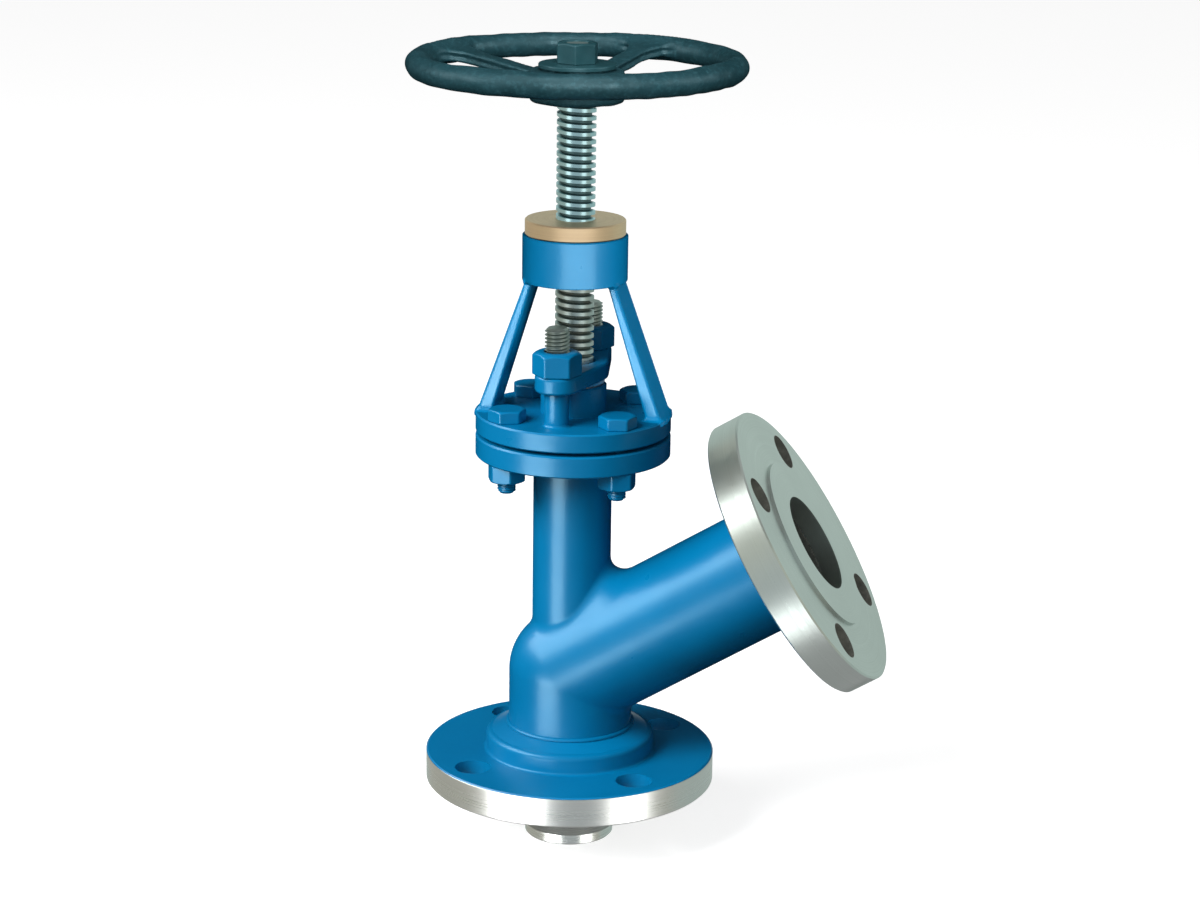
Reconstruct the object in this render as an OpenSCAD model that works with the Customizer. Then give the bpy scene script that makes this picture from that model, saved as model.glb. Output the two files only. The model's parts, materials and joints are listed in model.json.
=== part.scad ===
// Y-pattern flush-bottom globe valve with flanged ends, for a 2 inch line.
// Origin: on the stem axis, at the underside of the tank flange plate.
// +Z runs up the stem, and the outlet branch rises towards +X in the XZ plane.

/* [Line flanges, 2 inch class 150] */
// Outside diameter of both line flanges
flange_d = 152.4; // [140:0.2:165]
// Thickness of the tank flange plate, without its raised face
tank_flange_t = 16; // [12:0.5:20]
// Thickness of the outlet flange plate, without its raised face
outlet_flange_t = 17.5; // [12:0.5:22]
// Diameter of the raised faces
face_d = 92.1; // [86:0.1:98]
// Height of the raised faces
face_t = 1.6; // [1:0.1:3]
// Bolt circle of both line flanges
line_pcd = 120.65; // [116:0.05:126]
// Diameter of the holes for the line bolts
line_hole_d = 19; // [14:0.5:20]
// Bore of the outlet flange
outlet_bore_d = 52.5; // [50:0.5:54]

/* [Body] */
// Outside diameter of the lower pipe, the elbow and the branch
run_d = 64.8; // [60:0.2:70]
// Bore of the lower pipe and the elbow
run_bore_d = 52.4; // [48:0.2:54]
// Bore of the branch
branch_bore_d = 51.2; // [46:0.2:52]
// Height of the point where the branch axis meets the stem axis
elbow_z = 59.5; // [56:0.5:66]
// Rise of the branch axis above the horizontal, in degrees
branch_rise = 31.5; // [27:0.5:40]
// Distance from that point to the outlet's raised face, along the branch
branch_l = 150; // [145:1:170]
// Outside diameter of the neck
neck_d = 40.8; // [38:0.2:44]
// Bore of the neck
neck_bore_d = 32; // [31.6:0.2:33]
// Diameter of the collar on the tank flange
collar_d = 88.4; // [80:0.2:92]
// Height of the collar's outer shoulder above the flange
collar_h = 10.3; // [8:0.1:12]

/* [Bonnet joint] */
// Outside diameter of the neck flange and the bonnet plate
bonnet_d = 101; // [99:0.5:108]
// Height of the neck flange's underside
neck_flange_z = 177.1; // [172:0.1:182]
// Thickness of the neck flange
neck_flange_t = 11.2; // [9:0.1:13]
// Thickness of the gasket between them
gasket_t = 1.8; // [1:0.1:3]
// Thickness of the bonnet plate
bonnet_t = 9.9; // [9:0.1:12]
// Bolt circle of the bonnet bolts
bonnet_pcd = 81; // [78:0.5:83]
// Diameter of the bonnet bolts
bonnet_bolt_d = 9.5; // [8:0.5:10]
// Width across the flats of the bonnet bolt heads and nuts
bonnet_af = 17.5; // [15:0.5:18]

/* [Gland] */
// Diameter of the stuffing box tube
box_d = 34; // [33:0.5:35]
// Height of the stuffing box above the bonnet plate
box_h = 15; // [13:0.5:16]
// Inside diameter of the packing chamber
chamber_d = 28; // [26:0.5:29]
// Number of packing rings
packing_count = 4; // [3:1:4]
// Distance between the two gland studs
stud_gap = 66; // [62:1:70]
// Turn of the gland's stud line away from the Y axis, in degrees
gland_skew = 3.5; // [0:0.5:6]
// Diameter of the gland studs
stud_d = 12.7; // [11:0.1:13]
// Width across the flats of the gland nuts
gland_af = 22.2; // [20:0.2:23]
// Thickness of the oval gland flange
gland_t = 9; // [7:0.5:10]

/* [Yoke] */
// Diameter of the yoke ring
ring_d = 54; // [53:0.5:58]
// Height of the yoke ring's underside
ring_z = 268.9; // [262:0.1:275]
// Height of the yoke ring itself
ring_h = 23.7; // [18:0.1:28]
// Width of each yoke arm
arm_w = 26; // [20:0.5:28]
// Thickness of each arm at its foot
arm_foot_t = 8; // [6:0.5:9]
// Diameter of the bush's collar on top of the ring
bush_d = 51.6; // [46:0.2:53]
// Height of the bush's collar
bush_h = 7.9; // [5:0.1:10]

/* [Stem and disc] */
// Diameter of the stem, over its thread
stem_d = 20; // [18:0.5:20]
// Pitch of the left-hand stem thread
stem_pitch = 4; // [3:0.5:5]
// Depth of the stem thread
thread_depth = 2.2; // [1.5:0.1:2.5]
// Travel of the disc from open to closed
disc_lift = 30; // [20:1:34]
// Diameter of the disc
disc_d = 46.8; // [44:0.2:48]

/* [Handwheel] */
// Diameter of the rim's centre line
wheel_d = 159.8; // [140:0.2:180]
// Thickness of the rim
rim_t = 12.4; // [10:0.2:14]
// Height of the rim's centre line
rim_z = 378.6; // [376:0.1:382]
// Height of the hub's underside
hub_z = 360; // [356:0.5:362]
// Diameter of the hub
hub_d = 48; // [44:0.5:52]
// Number of spokes
spoke_count = 4; // [3:1:5]
// Direction of the first spoke, in degrees from +X
spoke_turn = 71; // [0:1:120]

/* [Hidden] */
$fn = 96;

// Edges are broken by this much on the turned plates
edge = 0.8;
run_r = run_d / 2;
neck_r = neck_d / 2;
// The elbow's ball stands this much proud of the pipes that meet in it
ball_proud = 0.4;
stem_r = stem_d / 2;
stud_r = stud_d / 2;
bolt_count = 4;
bolt_turn = 45;

// Running clearance of the stem in its bushes and packing
run_gap = 0.06;
stem_hole_r = stem_r + run_gap;

// The body pipe stands in a socket in the collar, and the seat ring fills a pocket below it
socket_z = 20;
seat_top_z = 14;
seat_r = 30;
seat_bore_r = 20;
seat_mouth_r = disc_d / 2 + 0.5;
collar_z = tank_flange_t + collar_h;
collar_round = 2.4;
weld_top_z = collar_z + 4.2;

// The branch pipe ends inside the outlet flange
outlet_back = branch_l - face_t - outlet_flange_t;
outlet_socket = outlet_back + 9;

// The neck pipe ends inside the neck flange, below the gasket face
neck_flange_top = neck_flange_z + neck_flange_t;
neck_socket_z = neck_flange_top - 5;
bonnet_z = neck_flange_top + gasket_t;
bonnet_top = bonnet_z + bonnet_t;
gasket_r = 33;
bolt_hole_r = bonnet_bolt_d / 2 + 0.8;
head_h = 6.4;
nut_h = 9;
bolt_end = 6;

// The stuffing box: a spigot that centres the bonnet in the neck, a guide bush, a chamber
spigot_r = neck_bore_d / 2 - 0.2;
spigot_z = bonnet_z - 9;
box_top = bonnet_top + box_h;
guide_r = 13;
guide_top = bonnet_z + 3.4;
chamber_z = guide_top + 1.5;
ring_gap = 0.1;
packing_h = 4;
packing_top = chamber_z + packing_count * packing_h;
gland_z = box_top + 2.9;
gland_top = gland_z + gland_t;
gland_mid_r = 18;
lobe_r = 11.2;
follower_r = chamber_d / 2 - 0.15;
follower_bore_r = stem_r + 0.4;
follower_collar_r = 16;
follower_collar_z = box_top + 1;
stud_hole_r = stud_r + 0.8;
stud_depth = 8;
stud_top = gland_top + 24.1;
gland_nut_h = 12;
nut_gap = 0.05;
nut_turn = 11;

// The yoke arms lean in from the rim of the bonnet plate to the underside of the ring
arm_out_x = sqrt(pow(bonnet_d / 2, 2) - pow(arm_w / 2, 2)) - 0.5;
arm_top_out_x = sqrt(pow(ring_d / 2, 2) - pow(arm_w / 2, 2)) - 0.05;
arm_top_t = 4.2;
ring_bore_r = 20;
ring_top = ring_z + ring_h;
bush_top = ring_top + bush_h;
bush_low_z = ring_z + 1.2;
screw_r = 3;
screw_z = ring_z + ring_h / 2;
socket_af = 3;

// The disc hangs from the stem's foot, which turns inside its socket
disc_z = -face_t - disc_lift + 0.1;
disc_edge_h = 5.4;
cone_h = 3.8;
disc_back_z = disc_z + disc_edge_h + cone_h;
boss_r = 17;
boss_top = disc_back_z + 14;
disc_socket_r = 13;
disc_socket_z = disc_z + 5.5;
foot_r = 12.6;
foot_z = disc_socket_z + 0.2;
foot_h = 6;
plug_z = foot_z + foot_h + 0.2;
disc_nut_af = 29;
disc_nut_h = 5;
seat_gap = 0.15;
seat_cone_z = disc_z + disc_lift + disc_edge_h - (seat_mouth_r - disc_d / 2) + seat_gap;

// The stem thread runs from the gland to the hub, then a square and a stub for the wheel nut
thread_z = gland_top + 1.5;
thread_turns = floor((hub_z - thread_z) / stem_pitch);
crest = 0.42 * stem_pitch;
flank = thread_depth * tan(15);
square_w = 14;
square_gap = 0.1;
boss_d = 35;
hub_top = hub_z + 16;
boss_z = hub_top + 1.1;
washer_t = 2.4;
washer_r = 19.6;
wheel_nut_af = 19.4;
wheel_nut_h = 10.5;
wheel_nut_turn = 34.5;
stub_r = 7;
stub_top = boss_z + washer_t + wheel_nut_h - 0.6;

// Each spoke rises from the hub to the rim, and widens where it meets both
rim_r = wheel_d / 2;
spoke_t = 6;
spoke_half = 5.5;
spoke_root_half = 27;
spoke_in = 12;
spoke_out = rim_r - rim_t / 4;
spoke_low_z = hub_z + 4;
spoke_slope = atan((rim_z + rim_t / 2 - 1.8 - spoke_t - spoke_low_z) / spoke_out);

blue = [0.02, 0.38, 0.66];
steel = [0.72, 0.73, 0.72];
bright = [0.82, 0.84, 0.84];
bronze = [0.80, 0.62, 0.42];
iron = [0.10, 0.20, 0.23];
graphite = [0.16, 0.16, 0.17];

// Places its children at each bolt of a circle
module around(pcd, count = bolt_count, turn = bolt_turn) {
    for (i = [0 : count - 1])
        rotate(turn + i * 360 / count) translate([pcd / 2, 0, 0]) children();
}

// Turned disc with both edges broken
module plate(d, z, h, e = edge) {
    translate([0, 0, z]) rotate_extrude() polygon([
        [0, 0], [d / 2 - e, 0], [d / 2, e], [d / 2, h - e], [d / 2 - e, h], [0, h]
    ]);
}

// Hexagon prism from z upwards, its corners rounded off at one or both ends
module hex(af, z, h, top = true, bottom = false) {
    corner_r = af / sqrt(3);
    flat_r = af / 2 * 0.97;
    cut = (corner_r - flat_r) * tan(30);
    translate([0, 0, z]) intersection() {
        rotate(30) cylinder(r = corner_r, h = h, $fn = 6);
        rotate_extrude() polygon([
            [0, 0], [bottom ? flat_r : corner_r, 0], [corner_r, bottom ? cut : 0],
            [corner_r, top ? h - cut : h], [top ? flat_r : corner_r, h], [0, h]
        ]);
    }
}

// Moves its children from the stem axis onto the branch axis
module on_branch() {
    translate([0, 0, elbow_z]) rotate([0, 90 - branch_rise, 0]) children();
}

// Places its children on the front (-1) or back (1) gland stud
module on_stud(side) {
    rotate(-gland_skew) translate([0, side * stud_gap / 2, 0]) children();
}

module body() {
    color(blue) difference() {
        union() {
            translate([0, 0, socket_z]) cylinder(r = run_r, h = elbow_z - socket_z);
            translate([0, 0, elbow_z]) sphere(r = run_r + ball_proud);
            on_branch() cylinder(r = run_r, h = outlet_socket);
            translate([0, 0, elbow_z]) cylinder(r = neck_r, h = neck_socket_z - elbow_z);
        }
        translate([0, 0, socket_z - 1]) cylinder(d = run_bore_d, h = elbow_z - socket_z + 1);
        translate([0, 0, elbow_z]) sphere(r = run_bore_d / 2 + ball_proud);
        on_branch() cylinder(d = branch_bore_d, h = outlet_socket + 1);
        translate([0, 0, elbow_z]) cylinder(d = neck_bore_d, h = neck_socket_z - elbow_z + 1);
    }
}

module tank_flange() {
    top_r = collar_d / 2;
    color(blue) difference() {
        union() {
            plate(flange_d, 0, tank_flange_t);
            translate([0, 0, -face_t]) cylinder(d = face_d, h = face_t + 1);
            rotate_extrude() polygon([
                [0, 1], [top_r, 1], [top_r, collar_z - collar_round],
                [top_r - collar_round * 0.3, collar_z - collar_round * 0.3],
                [top_r - collar_round, collar_z], [run_r, weld_top_z], [0, weld_top_z]
            ]);
        }
        translate([0, 0, socket_z]) cylinder(r = run_r, h = weld_top_z);
        translate([0, 0, seat_top_z - 1]) cylinder(d = run_bore_d, h = socket_z);
        translate([0, 0, -face_t - 1]) cylinder(r = seat_r, h = seat_top_z + face_t + 1);
        around(line_pcd) translate([0, 0, -1]) cylinder(d = line_hole_d, h = tank_flange_t + 2);
    }
}

module outlet_flange() {
    color(steel) on_branch() difference() {
        union() {
            plate(flange_d, outlet_back, outlet_flange_t);
            translate([0, 0, outlet_back + 1]) cylinder(d = face_d, h = outlet_flange_t + face_t - 1);
        }
        translate([0, 0, outlet_back - 1]) cylinder(r = run_r, h = outlet_socket - outlet_back + 1);
        cylinder(d = outlet_bore_d, h = branch_l + 1);
        around(line_pcd) translate([0, 0, outlet_back - 1]) cylinder(d = line_hole_d, h = branch_l);
    }
}

module neck_flange() {
    color(blue) difference() {
        plate(bonnet_d, neck_flange_z, neck_flange_t);
        translate([0, 0, neck_flange_z - 1]) cylinder(r = neck_r, h = neck_socket_z - neck_flange_z + 1);
        translate([0, 0, neck_flange_z]) cylinder(d = neck_bore_d, h = neck_flange_t + 1);
        around(bonnet_pcd) translate([0, 0, neck_flange_z - 1])
            cylinder(r = bolt_hole_r, h = neck_flange_t + 2);
    }
}

// The ring stays in its pocket, with a cone that the disc closes on
module seat_ring() {
    color(bright) rotate_extrude() polygon([
        [seat_bore_r, seat_top_z], [seat_r, seat_top_z], [seat_r, -face_t], [seat_mouth_r, -face_t],
        [seat_mouth_r, seat_cone_z], [seat_bore_r, seat_cone_z + seat_mouth_r - seat_bore_r]
    ]);
}

module bonnet_gasket() {
    color(graphite) translate([0, 0, neck_flange_top]) difference() {
        cylinder(r = gasket_r, h = gasket_t);
        translate([0, 0, -1]) cylinder(d = neck_bore_d + 1, h = gasket_t + 2);
    }
}

module bonnet_plate() {
    color(blue) difference() {
        plate(bonnet_d, bonnet_z, bonnet_t);
        translate([0, 0, bonnet_z - 1]) cylinder(d = box_d, h = bonnet_t + 2);
        around(bonnet_pcd) translate([0, 0, bonnet_z - 1]) cylinder(r = bolt_hole_r, h = bonnet_t + 2);
        for (side = [-1, 1])
            on_stud(side) translate([0, 0, bonnet_top - stud_depth]) cylinder(r = stud_r, h = stud_depth + 1);
    }
}

module bonnet_bolts() {
    nut_low = neck_flange_z - nut_h;
    color(blue) around(bonnet_pcd) union() {
        hex(bonnet_af, bonnet_top, head_h);
        plate(bonnet_bolt_d, nut_low - bolt_end, bonnet_top - nut_low + bolt_end + 1);
    }
}

module bonnet_nuts() {
    nut_low = neck_flange_z - nut_h;
    color(blue) around(bonnet_pcd) difference() {
        hex(bonnet_af, nut_low, nut_h, top = false, bottom = true);
        translate([0, 0, nut_low - 1]) cylinder(d = bonnet_bolt_d, h = nut_h + 2);
    }
}

module stuffing_box() {
    color(blue) rotate_extrude() polygon([
        [guide_r, spigot_z], [spigot_r, spigot_z], [spigot_r, bonnet_z], [box_d / 2, bonnet_z],
        [box_d / 2, box_top - edge], [box_d / 2 - edge, box_top],
        [chamber_d / 2, box_top], [chamber_d / 2, chamber_z],
        [stem_r + 1, chamber_z], [stem_r + 1, guide_top], [guide_r, guide_top]
    ]);
}

module guide_bush() {
    color(bronze) translate([0, 0, spigot_z + 1]) difference() {
        cylinder(r = guide_r, h = guide_top - spigot_z - 1);
        translate([0, 0, -1]) cylinder(r = stem_hole_r, h = guide_top - spigot_z + 1);
    }
}

module packing_rings() {
    color(graphite) for (i = [0 : packing_count - 1])
        translate([0, 0, chamber_z + i * packing_h]) difference() {
            cylinder(d = chamber_d, h = packing_h - ring_gap);
            translate([0, 0, -1]) cylinder(r = stem_hole_r, h = packing_h + 2);
        }
}

module gland_follower() {
    color(bright) rotate_extrude() polygon([
        [follower_bore_r, packing_top], [follower_r, packing_top],
        [follower_r, follower_collar_z], [follower_collar_r, follower_collar_z],
        [follower_collar_r, gland_z], [follower_bore_r, gland_z]
    ]);
}

// Plate with a round middle, a lobe at each stud and straight tangents between them
module gland_plate() {
    reach = stud_gap / 2;
    lean = asin((gland_mid_r - lobe_r) / reach);
    mid = gland_mid_r * [cos(lean), sin(lean)];
    end = [0, reach] + lobe_r * [cos(lean), sin(lean)];
    cylinder(r = gland_mid_r, h = gland_t);
    for (side = [-1, 1]) translate([0, side * reach, 0]) cylinder(r = lobe_r, h = gland_t);
    linear_extrude(gland_t) polygon([
        mid, end, [-end.x, end.y], [-mid.x, mid.y], -mid, -end, [end.x, -end.y], [mid.x, -mid.y]
    ]);
}

module gland_flange() {
    color(blue) difference() {
        translate([0, 0, gland_z]) rotate(-gland_skew) gland_plate();
        translate([0, 0, gland_z - 1]) cylinder(r = follower_bore_r + 0.6, h = gland_t + 2);
        for (side = [-1, 1])
            on_stud(side) translate([0, 0, gland_z - 1]) cylinder(r = stud_hole_r, h = gland_t + 2);
    }
}

module gland_studs() {
    low = bonnet_top - stud_depth;
    color(steel) for (side = [-1, 1]) on_stud(side) plate(stud_d, low, stud_top - low);
}

module gland_nut(side) {
    color(blue) on_stud(side) rotate(gland_skew + nut_turn) difference() {
        hex(gland_af, gland_top, gland_nut_h);
        translate([0, 0, gland_top - 1]) cylinder(r = stud_r + nut_gap, h = gland_nut_h + 2);
    }
}

module gland_nut_front() { gland_nut(-1); }

module gland_nut_back() { gland_nut(1); }

module yoke_arm() {
    color(blue) rotate([90, 0, 0]) translate([0, 0, -arm_w / 2]) linear_extrude(arm_w) polygon([
        [arm_out_x - arm_foot_t, bonnet_top], [arm_out_x, bonnet_top],
        [arm_top_out_x, ring_z], [arm_top_out_x - arm_top_t, ring_z]
    ]);
}

module yoke_arm_right() { yoke_arm(); }

module yoke_arm_left() { mirror([1, 0, 0]) yoke_arm(); }

module yoke_ring() {
    color(blue) difference() {
        plate(ring_d, ring_z, ring_h, 0.5);
        translate([0, 0, ring_z - 1]) cylinder(r = ring_bore_r, h = ring_h + 2);
        translate([0, 0, screw_z]) rotate([-90, 0, 0]) cylinder(r = screw_r, h = ring_d);
    }
}

module yoke_bush() {
    color(bronze) difference() {
        union() {
            translate([0, 0, bush_low_z]) cylinder(r = ring_bore_r, h = bush_top - bush_low_z - edge);
            plate(bush_d, ring_top, bush_h, 0.6);
        }
        translate([0, 0, bush_low_z - 1]) cylinder(r = stem_hole_r, h = bush_top - bush_low_z + 2);
    }
}

// Socket grub screw that locks the bush in the back of the ring
module bush_screw() {
    long = ring_d / 2 - ring_bore_r - 0.8;
    color(steel) translate([0, ring_bore_r, screw_z]) rotate([-90, 0, 0]) difference() {
        cylinder(r = screw_r, h = long);
        translate([0, 0, long - 2.5]) cylinder(r = socket_af / sqrt(3), h = 3, $fn = 6);
    }
}

module disc() {
    r = disc_d / 2;
    color(bright) rotate_extrude() polygon([
        [0, disc_z], [r - edge, disc_z], [r, disc_z + edge], [r, disc_z + disc_edge_h],
        [r - cone_h, disc_back_z], [boss_r, disc_back_z], [boss_r, boss_top],
        [disc_socket_r, boss_top], [disc_socket_r, disc_socket_z], [0, disc_socket_z]
    ]);
}

// Screwed into the disc's socket over the foot of the stem
module disc_nut() {
    color(steel) difference() {
        union() {
            translate([0, 0, plug_z]) cylinder(r = disc_socket_r, h = boss_top - plug_z + 1);
            hex(disc_nut_af, boss_top, disc_nut_h);
        }
        translate([0, 0, plug_z - 1]) cylinder(r = stem_hole_r, h = boss_top - plug_z + disc_nut_h + 2);
    }
}

// One turn of the thread's profile, from the root below a crest to the root above it
function thread_turn(z) = [
    [stem_r - thread_depth, z], [stem_r, z + flank],
    [stem_r, z + flank + crest], [stem_r - thread_depth, z + 2 * flank + crest]
];

module stem() {
    color(bright) union() {
        rotate_extrude() polygon(concat(
            [[0, foot_z], [foot_r, foot_z], [foot_r, foot_z + foot_h], [stem_r, foot_z + foot_h],
             [stem_r, thread_z - flank], [stem_r - thread_depth, thread_z]],
            [for (i = [0 : thread_turns - 2]) each thread_turn(thread_z + (i + 0.5) * stem_pitch)],
            [[stem_r - thread_depth, hub_z - stem_pitch / 2], [stem_r, hub_z - stem_pitch / 2 + flank],
             [stem_r, hub_z], [0, hub_z]]
        ));
        translate([-square_w / 2, -square_w / 2, hub_z - 1]) cube([square_w, square_w, boss_z - hub_z]);
        plate(2 * stub_r, boss_z - 2, stub_top - boss_z + 2);
    }
}

// Seen from above: narrow in the middle, with curved flares at the rim
module spoke_outline() {
    flare = spoke_root_half - spoke_half;
    difference() {
        translate([spoke_in, -spoke_root_half]) square([spoke_out - spoke_in, 2 * spoke_root_half]);
        for (side = [-1, 1]) {
            translate([0, side * spoke_root_half - (side > 0 ? flare : 0)])
                square([spoke_out - flare, flare]);
            translate([spoke_out - flare, side * spoke_root_half]) circle(r = flare);
        }
    }
}

module handwheel() {
    color(iron) difference() {
        union() {
            translate([0, 0, rim_z]) rotate_extrude() translate([rim_r, 0]) circle(d = rim_t);
            plate(hub_d, hub_z, hub_top - hub_z, 1.5);
            plate(boss_d, hub_top - 1, boss_z - hub_top + 1, 1);
            for (i = [0 : spoke_count - 1])
                rotate(spoke_turn + i * 360 / spoke_count)
                    translate([0, 0, spoke_low_z]) rotate([0, -spoke_slope, 0])
                        linear_extrude(spoke_t) spoke_outline();
        }
        hole = square_w + 2 * square_gap;
        translate([-hole / 2, -hole / 2, hub_z - 1]) cube([hole, hole, boss_z - hub_z + 2]);
    }
}

module handwheel_washer() {
    color(steel) translate([0, 0, boss_z]) difference() {
        cylinder(r = washer_r, h = washer_t);
        translate([0, 0, -1]) cylinder(r = stub_r + 0.3, h = washer_t + 2);
    }
}

module handwheel_nut() {
    color(iron) difference() {
        rotate(wheel_nut_turn) hex(wheel_nut_af, boss_z + washer_t, wheel_nut_h);
        translate([0, 0, boss_z]) cylinder(r = stub_r, h = wheel_nut_h + 2 * washer_t);
    }
}

body();
tank_flange();
outlet_flange();
neck_flange();
seat_ring();
bonnet_gasket();
bonnet_plate();
bonnet_bolts();
bonnet_nuts();
stuffing_box();
guide_bush();
packing_rings();
gland_follower();
gland_flange();
gland_studs();
gland_nut_front();
gland_nut_back();
yoke_arm_left();
yoke_arm_right();
yoke_ring();
yoke_bush();
bush_screw();
disc();
disc_nut();
stem();
handwheel();
handwheel_washer();
handwheel_nut();
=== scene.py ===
"""Looks of a Y-pattern flush-bottom globe valve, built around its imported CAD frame.

Shapes are worked out in millimetres, in the frame of the CAD model, and turned into metres by make_mesh.
"""

import json
import math

import bpy
import numpy as np
from mathutils import Euler, Matrix, Vector

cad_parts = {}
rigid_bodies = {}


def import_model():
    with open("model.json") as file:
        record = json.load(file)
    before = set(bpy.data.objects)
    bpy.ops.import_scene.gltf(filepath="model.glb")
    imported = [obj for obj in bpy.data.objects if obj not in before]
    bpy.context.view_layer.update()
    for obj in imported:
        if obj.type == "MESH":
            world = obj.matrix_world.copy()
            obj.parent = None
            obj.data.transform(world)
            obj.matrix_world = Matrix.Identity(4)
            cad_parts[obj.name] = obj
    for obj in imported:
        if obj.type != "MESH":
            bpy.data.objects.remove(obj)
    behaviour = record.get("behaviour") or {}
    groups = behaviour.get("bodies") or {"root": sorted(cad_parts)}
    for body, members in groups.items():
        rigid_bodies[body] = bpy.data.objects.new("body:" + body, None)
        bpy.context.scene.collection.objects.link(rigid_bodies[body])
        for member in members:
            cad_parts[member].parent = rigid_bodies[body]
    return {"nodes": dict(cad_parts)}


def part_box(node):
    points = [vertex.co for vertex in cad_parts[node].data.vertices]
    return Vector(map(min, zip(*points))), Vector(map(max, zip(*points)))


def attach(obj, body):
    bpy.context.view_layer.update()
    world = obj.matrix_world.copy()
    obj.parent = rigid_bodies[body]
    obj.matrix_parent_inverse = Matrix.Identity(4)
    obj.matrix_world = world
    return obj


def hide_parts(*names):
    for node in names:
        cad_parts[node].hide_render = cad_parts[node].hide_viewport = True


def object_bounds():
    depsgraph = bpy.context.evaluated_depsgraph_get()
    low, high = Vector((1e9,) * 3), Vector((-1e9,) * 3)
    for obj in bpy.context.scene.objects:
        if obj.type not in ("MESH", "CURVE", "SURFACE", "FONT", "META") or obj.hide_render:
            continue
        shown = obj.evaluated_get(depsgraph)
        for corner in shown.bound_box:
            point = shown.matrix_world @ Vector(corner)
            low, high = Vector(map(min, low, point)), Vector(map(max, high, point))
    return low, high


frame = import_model()
cad_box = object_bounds()

MM = 0.001
TAU = 2 * math.pi


# ---------------------------------------------------------------- the frame's own dimensions


def span(node):
    """Lowest and highest corner of a CAD node, in millimetres."""
    low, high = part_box(node)
    return np.array(low) / MM, np.array(high) / MM


PLATE_TOP = span("bonnet_plate")[1][2]
PLATE_R = span("bonnet_plate")[1][0]
RING_LOW = span("yoke_ring")[0][2]
RING_R = span("yoke_ring")[1][0]
GLAND_LOW, GLAND_TOP = span("gland_flange")[0][2], span("gland_flange")[1][2]
NUT_TOP = span("gland_nut_front")[1][2]
STUD_LOW, STUD_TOP = span("gland_studs")[0][2], span("gland_studs")[1][2]
WHEEL_LOW = span("handwheel")[0][2]
GLAND_BOX_TOP = span("stuffing_box")[1][2]
FLANGE_R = span("tank_flange")[1][0]
NECK_FLANGE_LOW = span("neck_flange")[0][2]

# Dimensions that a bounding box can't give
RUN_R, RUN_BORE_R, BRANCH_BORE_R = 32.4, 26.2, 25.6
NECK_R, NECK_BORE_R = 20.4, 16.0
HOLE_AT, HOLE_R = 120.65 / 2 * math.sqrt(0.5), 9.5
ELBOW_Z = 59.5
BRANCH_RISE = math.radians(31.5)
PIPE_END, OUTLET_BACK = 139.9, 130.9
SOCKET_Z = 20.0
TANK_PLATE_TOP = 16.0
COLLAR_R, COLLAR_TOP, WELD_TOP = 44.2, 26.3, 30.5
BONNET_PCD = 81.0
BONNET_AF, BONNET_HEAD_H = 17.5, 6.4
BONNET_BOLT_R, BONNET_THREAD_DEPTH, BONNET_PITCH = 4.75, 0.55, 1.5
STUD_REACH, STUD_R, GLAND_SKEW = 33.0, 6.35, math.radians(3.5)
STUD_THREAD_DEPTH, STUD_PITCH = 1.15, 1.954
GLAND_AF, NUT_TURN = 22.2, math.radians(11)
GLAND_MID_R, GLAND_LOBE_R = 18.0, 11.2
ARM_HALF_W, ARM_FOOT_T, ARM_HEAD_T = 13.0, 8.0, 4.2
STEM_R, STEM_PITCH, THREAD_DEPTH = 10.0, 4.0, 2.2
STUB_R, STUB_THREAD_DEPTH, STUB_PITCH = 6.97, 0.9, 2.0
SQUARE_HALF = 7.0
SPOKE_TURN = math.radians(71)
SPOKE_COUNT = 4
SPOKE_T, SPOKE_HALF_W, SPOKE_END_HALF_W = 6.0, 5.5, 27.0
RIM_T = 12.4
HUB_R, HUB_H = 24.0, 16.0
BOSS_R, BOSS_H = 17.5, 17.1
WHEEL_NUT_AF, WHEEL_NUT_TURN = 19.4, math.radians(34.5)

BRANCH = np.array([math.cos(BRANCH_RISE), 0, math.sin(BRANCH_RISE)])


# ---------------------------------------------------------------- distance fields


def fillet(a, b, r):
    """Union of two fields, with a concave round of radius r where they meet."""
    return np.maximum(r, np.minimum(a, b)) - np.hypot(np.maximum(r - a, 0), np.maximum(r - b, 0))


def rounded(a, b, r):
    """Intersection of two fields, with their shared edge rounded to radius r."""
    return np.minimum(-r, np.maximum(a, b)) + np.hypot(np.maximum(r + a, 0), np.maximum(r + b, 0))


def slab(v, low, high):
    return abs(v - (low + high) / 2) - (high - low) / 2


def drum(x, y, z, radius, low, high, edge):
    return rounded(np.hypot(x, y) - radius, slab(z, low, high), edge)


def hexagon(x, y, across_flats, corner):
    """Hexagon with two flats across Y, before any turn, its corners rounded."""
    sides = []
    for angle in (TAU / 4, TAU / 12, -TAU / 12):
        sides.append(abs(x * math.cos(angle) + y * math.sin(angle)) - across_flats / 2)
    return rounded(rounded(sides[0], sides[1], corner), sides[2], corner)


def hex_block(x, y, z, across_flats, low, high, top, bottom, crown=0.97):
    """Hexagon nut or head, its corners turned down to a cone at the top, at the bottom or at both.

    crown is the radius where the cone starts, as a share of half the width across flats.
    """
    corner, edge, cone_edge = 0.7, 0.45, 0.5
    cone = math.radians(30)
    body = rounded(hexagon(x, y, across_flats, corner), slab(z, low, high), edge)
    drop = (np.hypot(x, y) - across_flats / 2 * crown) * math.tan(cone)
    if top:
        body = rounded(body, (z - high + drop) * math.cos(cone), cone_edge)
    if bottom:
        body = rounded(body, (low - z + drop) * math.cos(cone), cone_edge)
    return body


def turned(x, y, angle):
    c, s = math.cos(angle), math.sin(angle)
    return x * c + y * s, y * c - x * s


# ---------------------------------------------------------------- from a field to a mesh

# The outline of a solid bar stops this short of the axis
AXIS_GAP = 0.01
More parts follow.
